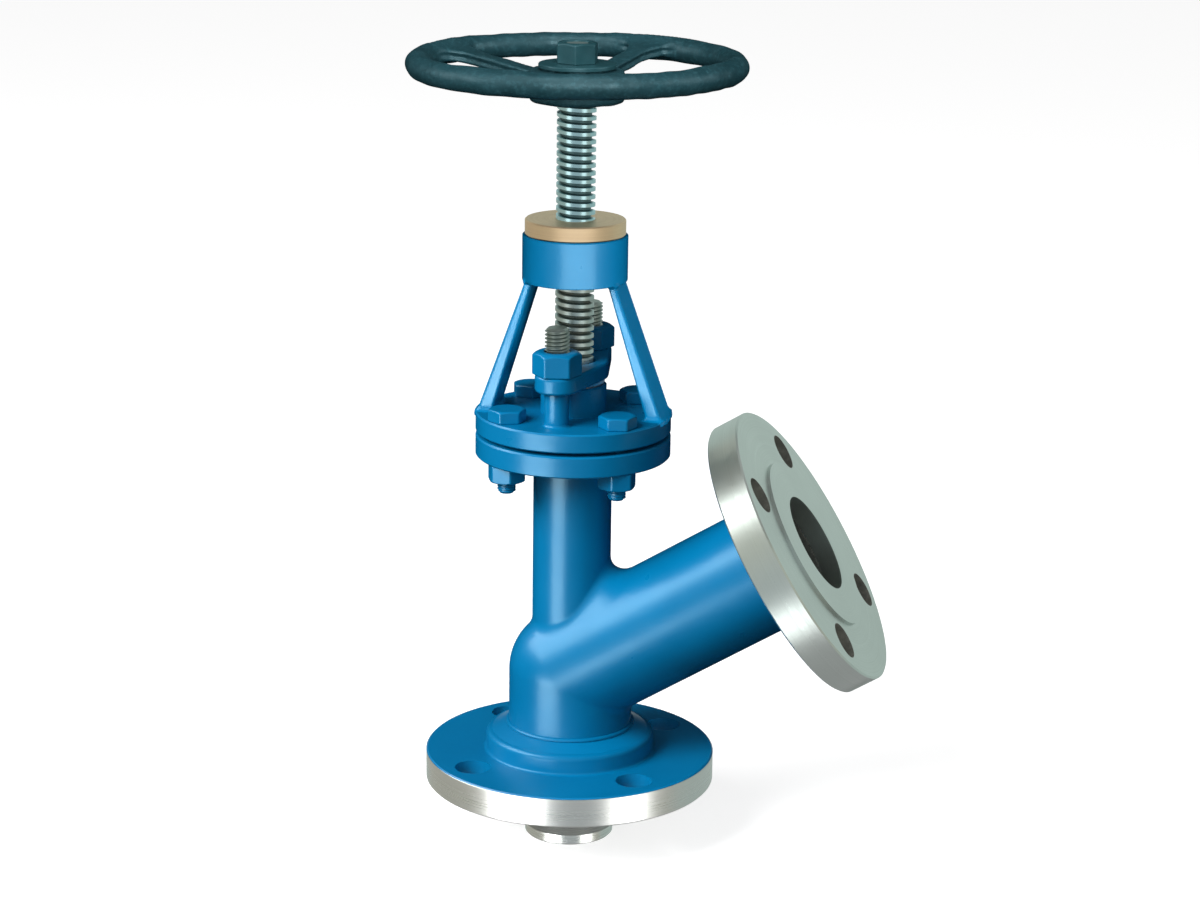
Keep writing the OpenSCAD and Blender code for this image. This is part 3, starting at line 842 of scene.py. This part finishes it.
def gland_field(x, y, z):
    """Oval plate: a round middle, a lobe at each stud, straight tangents, and soft cast edges."""
    u, v = turned(x, y, -GLAND_SKEW)
    u, v = abs(u), abs(v)
    lean = (GLAND_MID_R - GLAND_LOBE_R) / STUD_REACH
    straight = math.sqrt(1 - lean * lean)
    k = v * straight - u * lean
    edge, hole_edge = 1.7, 0.7
    plate = np.where(k > straight * STUD_REACH, np.hypot(u, v - STUD_REACH) - GLAND_LOBE_R,
                     u * straight + v * lean - GLAND_MID_R)
    plate = np.where(k < 0, np.hypot(u, v) - GLAND_MID_R, plate)
    body = rounded(plate, slab(z, GLAND_LOW, GLAND_TOP), edge)
    body = rounded(body, STEM_R + 1.0 - np.hypot(u, v), hole_edge)
    return rounded(body, STUD_R + 0.8 - np.hypot(u, v - STUD_REACH), hole_edge)


def stud_spot(side):
    """Foot of the front stud, side -1, or the back one, side 1."""
    return (side * STUD_REACH * math.sin(GLAND_SKEW), side * STUD_REACH * math.cos(GLAND_SKEW), 0)


def at_both_studs(parts):
    return [moved(part, stud_spot(side)) for side in (-1, 1) for part in parts]


def build_gland():
    plate = surface_of(gland_field, *span("gland_flange"), grid_step(0.7))
    add_enamelled("gland_plate", [plate], ["gland_flange"], "gland")

    def nut(x, y, z):
        block = hex_block(x, y, z, GLAND_AF, GLAND_TOP, NUT_TOP, True, False, crown=0.86)
        return rounded(block, STUD_R + 0.05 - np.hypot(x, y), 0.7)

    half = GLAND_AF / math.sqrt(3)
    part = surface_of(nut, (-half, -half, GLAND_TOP), (half, half, NUT_TOP), HEX_STEP)
    for side, name, body in ((-1, "gland_nut_front", "front_nut"), (1, "gland_nut_back", "back_nut")):
        add_enamelled(name + "_hex", [moved(part, stud_spot(side), NUT_TURN)], [name], body)
    segments = 64
    point_low = STUD_TOP - 1.0
    top = threaded(STUD_R - 0.03, STUD_THREAD_DEPTH, STUD_PITCH, GLAND_TOP + 3, point_low, 1, crest=0.2,
                   runout=(2, 0), segments=segments)
    point = rod(STUD_R - 0.7, STUD_R - 1.7, point_low, STUD_TOP, segments)
    bare = at_both_studs([top, point])
    add_piece("gland_stud_threads", bare, "valve_body", STUD_METAL, ["gland_studs"])
    shank = rod(STUD_R - 0.05, STUD_R - 0.05, STUD_LOW, GLAND_TOP + 3.5, segments)
    weld, inside, sunk = 1.6, STUD_R - 1, PLATE_TOP - 0.5
    outline = [(inside, sunk), (STUD_R + weld, sunk)]
    outline += arc(STUD_R + weld, PLATE_TOP + weld, weld, 270, 180)
    outline += [(inside, PLATE_TOP + weld)]
    add_enamelled("gland_stud_shanks", at_both_studs([shank, lathe(outline, segments)]))


# ---------------------------------------------------------------- stem and handwheel


SQUARE_CORNERS = ((-1, -1), (1, -1), (1, 1), (-1, 1))


def square_bar(half, low, high):
    points = np.array([[sx * half, sy * half, z] for z in (low, high) for sx, sy in SQUARE_CORNERS])
    sides = [(k, (k + 1) % 4, (k + 1) % 4 + 4, k + 4) for k in range(4)]
    return points, [(3, 2, 1, 0), (4, 5, 6, 7)] + sides, None


def build_stem():
    """Foot collar, plain stem, left-hand thread, square for the wheel, and a stub for its nut."""
    foot_low, stub_top = span("stem")[0][2], span("stem")[1][2]
    thread_low = GLAND_TOP + 0.6
    plain_top = thread_low + 0.5
    collar_r, chamfer = 12.6, 0.4
    collar_top = foot_low + 6
    foot = lathe([(AXIS_GAP, foot_low), (collar_r - chamfer, foot_low), (collar_r, foot_low + chamfer),
                  (collar_r, collar_top - chamfer), (collar_r - chamfer, collar_top), (STEM_R, collar_top),
                  (STEM_R, plain_top), (AXIS_GAP, plain_top)], 96)
    thread = threaded(STEM_R, THREAD_DEPTH, STEM_PITCH, thread_low, WHEEL_LOW, -1, crest=0.5,
                      runout=(2.5, 0))
    core = rod(STEM_R - 1, STEM_R - 1, WHEEL_LOW - 1, WHEEL_LOW, 96)
    square_high = span("handwheel_washer")[0][2] - 1
    square = square_bar(SQUARE_HALF, WHEEL_LOW - 0.5, square_high)
    tip_low = stub_top - 0.8
    stub = threaded(STUB_R, STUB_THREAD_DEPTH, STUB_PITCH, square_high - 1, tip_low, 1, segments=64)
    tip = rod(6.2, 5.4, tip_low, stub_top, 64)
    add_piece("stem_screw", [foot, thread, core, square, stub, tip], "stem_assembly", STEM_METAL,
              ["stem"])


def wheel_field(x, y, z):
    """Cast wheel: a round rim, spokes waisted at mid height that spread at the rim, a hub and a boss."""
    low, high = span("handwheel")
    rim_r = high[0] - RIM_T / 2
    rim_z = high[2] - RIM_T / 2
    radial = np.hypot(x, y)
    rim = np.hypot(radial - rim_r, z - rim_z) - RIM_T / 2
    hub = drum(x, y, z, HUB_R, low[2], low[2] + HUB_H, 2.2)
    boss = drum(x, y, z, BOSS_R, low[2] + HUB_H / 2, low[2] + BOSS_H, 0.3)
    part = TAU / SPOKE_COUNT
    angle = (np.arctan2(y, x) - SPOKE_TURN + part / 2) % part - part / 2
    u, v = radial * np.cos(angle), radial * np.sin(angle)
    # The spokes rise from low on the hub to just under the top of the rim
    reach = rim_r - 3.1
    start, rim_gap = 4, 1.8
    slope = math.atan((high[2] - rim_gap - SPOKE_T - low[2] - start) / reach)
    mid = low[2] + start + SPOKE_T / 2 + u * math.tan(slope)
    w = (z - mid) * math.cos(slope)
    # Each side of a spoke is straight, then a quarter circle out to the rim
    flare = SPOKE_END_HALF_W - SPOKE_HALF_W
    past = u - reach + flare
    side = np.where(past > 0, flare - np.hypot(past, abs(v) - SPOKE_END_HALF_W), abs(v) - SPOKE_HALF_W)
    side = np.maximum(side, abs(v) - SPOKE_END_HALF_W)
    waist = 1.0 * np.exp(-((w / 1.2) ** 2))
    spoke = rounded(side + waist, abs(w) - SPOKE_T / 2, 1.6)
    # It starts inside the hub and stops inside the rim
    spoke = np.maximum(spoke, np.maximum(6 - u, radial - rim_r + 2))
    joint = 4.0
    wheel = fillet(fillet(rim, spoke, joint), hub, joint)
    wheel = np.minimum(wheel, boss)
    # A sand casting isn't quite true
    wobble = 0.16 * np.sin(x / 5.1 + 1.3) * np.sin(y / 4.3 + z / 6.1)
    wobble = wobble + 0.10 * np.sin(x / 2.3 + y / 2.9) * np.sin(z / 2.1)
    hole = np.maximum(abs(x), abs(y)) - SQUARE_HALF - 0.1
    return np.maximum(wheel + wobble, -hole)


def build_handwheel():
    casting = surface_of(wheel_field, *span("handwheel"), grid_step(1.1))
    add_piece("handwheel_casting", [casting], "stem_assembly", CAST_IRON, ["handwheel"])
    nut_low, nut_high = span("handwheel_nut")[0][2], span("handwheel_nut")[1][2]

    def nut(x, y, z):
        block = hex_block(x, y, z, WHEEL_NUT_AF, nut_low, nut_high, True, False)
        return rounded(block, 7.0 - np.hypot(x, y), 0.6)

    half = WHEEL_NUT_AF / math.sqrt(3)
    part = surface_of(nut, (-half, -half, nut_low), (half, half, nut_high), HEX_STEP)
    add_piece("handwheel_hex", [moved(part, angle=WHEEL_NUT_TURN)], "stem_assembly", DARK_OXIDE,
              ["handwheel_nut"])


def build_washer():
    low, high = span("handwheel_washer")
    bore, outer, chamfer, edge = 7.3, high[0], 0.3, 0.8
    outline = [(bore, low[2]), (outer - chamfer, low[2]), (outer, low[2] + chamfer)]
    outline += arc(outer - edge, high[2] - edge, edge, 0, 90)
    outline += [(bore, high[2])]
    add_piece("handwheel_disc", [lathe(outline)], "stem_assembly", DARK_OXIDE,
              ["handwheel_washer"])


build_body()
build_collar()
build_welds()
build_yoke()
build_bonnet_bolts()
build_gland()
build_stem()
build_handwheel()
build_washer()


# ---------------------------------------------------------------- camera, floor and light

CAMERA_AZIMUTH, CAMERA_PITCH, CAMERA_ROLL = (math.radians(a) for a in (10.888, 15.114, 0.791))
CAMERA_DISTANCE = 1.525989
CAMERA_ASIDE, CAMERA_HEIGHT = 0.014002, 0.178973
CAMERA_LENS = 88.376


def make_camera():
    data = bpy.data.cameras.new("camera")
    data.lens, data.sensor_width = CAMERA_LENS, 36.0
    data.clip_start, data.clip_end = 0.05, 50
    right = Vector((math.cos(CAMERA_AZIMUTH), math.sin(CAMERA_AZIMUTH), 0))
    back = Vector((math.sin(CAMERA_AZIMUTH) * math.cos(CAMERA_PITCH),
                   -math.cos(CAMERA_AZIMUTH) * math.cos(CAMERA_PITCH), math.sin(CAMERA_PITCH)))
    place = back * CAMERA_DISTANCE + right * CAMERA_ASIDE + Vector((0, 0, CAMERA_HEIGHT))
    up = back.cross(right)
    basis = Matrix((right, up, back)).transposed() @ Matrix.Rotation(CAMERA_ROLL, 3, "Z")
    camera = bpy.data.objects.new("camera", data)
    camera.matrix_world = Matrix.Translation(place) @ basis.to_4x4()
    bpy.context.scene.collection.objects.link(camera)
    bpy.context.scene.camera = camera


def make_floor():
    """Pale floor just below the disc. It is seen, and takes shadows, but throws no light back up."""
    half = 6.0
    level = cad_box[0].z
    mesh = bpy.data.meshes.new("floor")
    mesh.from_pydata([(sx * half, sy * half, level) for sx, sy in SQUARE_CORNERS], [], [(0, 1, 2, 3)])
    floor = bpy.data.objects.new("floor", mesh)
    bpy.context.scene.collection.objects.link(floor)
    material = bpy.data.materials.new("pale_floor")
    material.use_nodes = True
    tree = material.node_tree
    shader = tree.nodes["Principled BSDF"]
    shader.inputs["Base Color"].default_value = (0.6, 0.6, 0.6, 1)
    shader.inputs["Roughness"].default_value = 0.9
    shader.inputs["Specular IOR Level"].default_value = 0.0
    shader.inputs["Emission Color"].default_value = (1, 1, 1, 1)
    shader.inputs["Emission Strength"].default_value = 0.72
    mesh.materials.append(material)
    floor.visible_diffuse = False
    floor.visible_glossy = False
    floor.visible_shadow = False


def light_only(light, targets, leave_out=False):
    """Keeps a light to some objects, or away from them."""
    group = bpy.data.collections.new(light.name + "_targets")
    for target in targets:
        group.objects.link(target)
    light.light_linking.receiver_collection = group
    if leave_out:
        for member in group.collection_objects:
            member.light_linking.link_state = "EXCLUDE"


def softbox(name, turn, height, distance, width, tall, radiance, colour=(1, 1, 1), aim=0.18, only=None):
    """Area light that faces the stem axis. turn is its angle from the camera, to the right, in degrees.

    only is "shade" for a light that makes no highlight, and "gloss" for one that makes nothing else.
    """
    angle = CAMERA_AZIMUTH + math.radians(turn)
    place = Vector((math.sin(angle) * distance, -math.cos(angle) * distance, height))
    data = bpy.data.lights.new(name, "AREA")
    data.shape = "RECTANGLE"
    data.size, data.size_y = width, tall
    data.color = colour
    data.energy = radiance * math.pi * width * tall
    light = bpy.data.objects.new(name, data)
    light.location = place
    light.rotation_euler = (place - Vector((0, 0, aim))).to_track_quat("Z", "Y").to_euler()
    light.visible_camera = False
    light.visible_glossy = only != "shade"
    light.visible_diffuse = only != "gloss"
    bpy.context.scene.collection.objects.link(light)
    return light


def flat_card(name, level, size, radiance, facing_up):
    """Area light across the stem axis, above or below everything."""
    light = softbox(name, 0, level, 0.001, size, size, radiance)
    light.rotation_euler = (math.pi, 0, 0) if facing_up else (0, 0, 0)
    return light


# In the calls of softbox below, the six numbers are turn, height, distance, width, tall and radiance.


def light_paint():
    """Shade from a soft light high on the left, highlights from two cards, one low and one high.

    The yoke ring, the arms and the handwheel have lights of their own.
    """
    nodes, objects = frame["nodes"], bpy.data.objects
    ring, arms = nodes["yoke_ring"], [objects["yoke_left"], objects["yoke_right"]]
    wheel = [objects[n] for n in ("handwheel_casting", "handwheel_hex", "handwheel_disc")]
    others = [nodes["outlet_flange"], nodes["yoke_bush"]]
    not_keyed = others + [ring] + wheel
    light_only(softbox("key", -49, 1.35, 1.6, 1.2, 1.2, 15.5, only="shade"), not_keyed, leave_out=True)
    light_only(softbox("fill", -12, 0.5, 1.8, 1.6, 1.6, 1.25, only="shade"), others, leave_out=True)
    spared = others + wheel + [ring, objects["stem_screw"], objects["gland_stud_threads"]]
    light_only(softbox("low_card", -41, -0.40, 1.7, 1.15, 0.6, 8.8, only="gloss"), spared, leave_out=True)
    light_only(softbox("high_card", -86, 1.36, 1.6, 2.0, 1.1, 6.6, only="gloss"), spared, leave_out=True)
    light_only(softbox("ring_card", 8, -0.20, 1.7, 2.6, 1.4, 4.9, only="gloss"), [ring])
    light_only(softbox("ring_fill", 5, 0.30, 1.2, 6.0, 1.6, 2.6, only="shade"), [ring])
    light_only(softbox("arm_card", -22, 0.03, 0.78, 0.34, 0.2, 15.0, aim=0.235, only="gloss"), arms)
    light_only(softbox("arm_fill_right", 120, 0.30, 1.5, 1.0, 1.4, 4.0, only="shade"), arms[1:])
    light_only(softbox("arm_front_right", 30, 0.40, 1.5, 1.0, 1.0, 5.0, only="shade"), arms[1:])
    light_only(softbox("arm_fill_left", 60, 0.50, 1.5, 1.0, 1.0, 9.0, only="shade"), arms[:1])
    light_only(softbox("wheel_card", 6, 1.0, 1.7, 0.9, 0.9, 11.0), wheel)
    light_only(softbox("wheel_left", -80, 1.0, 1.7, 1.0, 1.0, 4.5), wheel)
    light_only(softbox("wheel_right", 80, 1.0, 1.7, 1.0, 1.0, 3.0), wheel)
    light_only(softbox("wheel_top", -10, 2.0, 0.6, 1.4, 0.8, 4.2), wheel)
    # The bright rim of the outlet flange shows the pale room, not the yoke in front of it
    for piece in [ring, nodes["yoke_bush"]] + arms:
        piece.visible_glossy = False


def light_metal():
    """Bare metal mirrors its surroundings, so it gets a pale room of its own, and white cards in it."""
    low_down = [frame["nodes"][n] for n in ("tank_flange", "disc", "disc_nut", "seat_ring")]
    outlet, bush = frame["nodes"]["outlet_flange"], frame["nodes"]["yoke_bush"]
    screws = [bpy.data.objects["stem_screw"], bpy.data.objects["gland_stud_threads"],
              frame["nodes"]["bush_screw"], frame["nodes"]["gland_follower"]]
    room_r, wall_w = 3.0, 3.46
    warm, cool, green = (1.0, 1.0, 0.88), (0.94, 1.02, 1.04), (0.92, 1.08, 1.02)
    # Six walls round the valve, the first one at the camera, the fourth across from it
    for i, tint in enumerate((cool, warm, green, green, warm, warm)):
        turn = i * 60
        extra = 0.02 if tint is green else 0.0
        low = softbox("room_low_%d" % i, turn, -1.0, room_r, wall_w, 2.0, 0.5 + extra, tint, aim=-1.0)
        light_only(low, low_down + [outlet, bush] + screws)
        high = softbox("room_high_%d" % i, turn, 1.5, room_r, wall_w, 3.0, 0.6 + extra, tint, aim=1.5)
        light_only(high, [outlet, bush] + screws)
    light_only(flat_card("room_top", 3.0, 5.0, 0.5, False), [outlet, bush] + screws)
    light_only(flat_card("room_bottom", -2.0, 5.0, 0.4, True), low_down + [outlet])
    light_only(softbox("strip", 48, -0.2, 1.7, 0.85, 1.6, 3.0), low_down)
    light_only(softbox("screw_card_left", -44, -0.1, 1.7, 0.8, 1.6, 1.1), screws)
    light_only(softbox("screw_card_right", 48, -0.1, 1.7, 0.8, 1.6, 0.9), screws)
    light_only(softbox("bush_card", 0, 0.2, 2.0, 3.6, 1.6, 0.9, (1.0, 0.95, 0.88)), [bush])
    light_only(softbox("disc_card", -40, -0.5, 1.7, 0.7, 0.7, 4.2), [frame["nodes"]["disc"]])
    light_only(softbox("outlet_card_high", -63, 1.3, 1.6, 0.7, 0.7, 4.0), [outlet])
    light_only(softbox("outlet_card_low", -5, -1.05, 1.5, 0.7, 0.7, 3.0), [outlet])


def make_world():
    """White to the eye. As light it is a dim room, darker below, which shows in no reflection."""
    world = bpy.data.worlds.new("studio")
    world.use_nodes = True
    tree = world.node_tree
    tree.nodes.clear()
    out = tree.nodes.new("ShaderNodeOutputWorld")
    seen = tree.nodes.new("ShaderNodeBackground")
    lit = tree.nodes.new("ShaderNodeBackground")
    choose = tree.nodes.new("ShaderNodeMixShader")
    path = tree.nodes.new("ShaderNodeLightPath")
    coord = tree.nodes.new("ShaderNodeTexCoord")
    parts = tree.nodes.new("ShaderNodeSeparateXYZ")
    fade = tree.nodes.new("ShaderNodeMapRange")
    seen.inputs[0].default_value = (1, 1, 1, 1)
    seen.inputs[1].default_value = 1.0
    lit.inputs[0].default_value = (1, 1, 1, 1)
    tree.links.new(coord.outputs["Generated"], parts.inputs[0])
    tree.links.new(parts.outputs[2], fade.inputs["Value"])
    for key, number in (("From Min", -0.4), ("From Max", 0.7), ("To Min", 0.08), ("To Max", 0.36)):
        fade.inputs[key].default_value = number
    tree.links.new(fade.outputs["Result"], lit.inputs[1])
    tree.links.new(path.outputs["Is Camera Ray"], choose.inputs[0])
    tree.links.new(lit.outputs[0], choose.inputs[1])
    tree.links.new(seen.outputs[0], choose.inputs[2])
    tree.links.new(choose.outputs[0], out.inputs[0])
    bpy.context.scene.world = world
    world.cycles_visibility.glossy = False


make_camera()
make_floor()
light_paint()
light_metal()
make_world()
bpy.context.scene.view_settings.view_transform = "Standard"
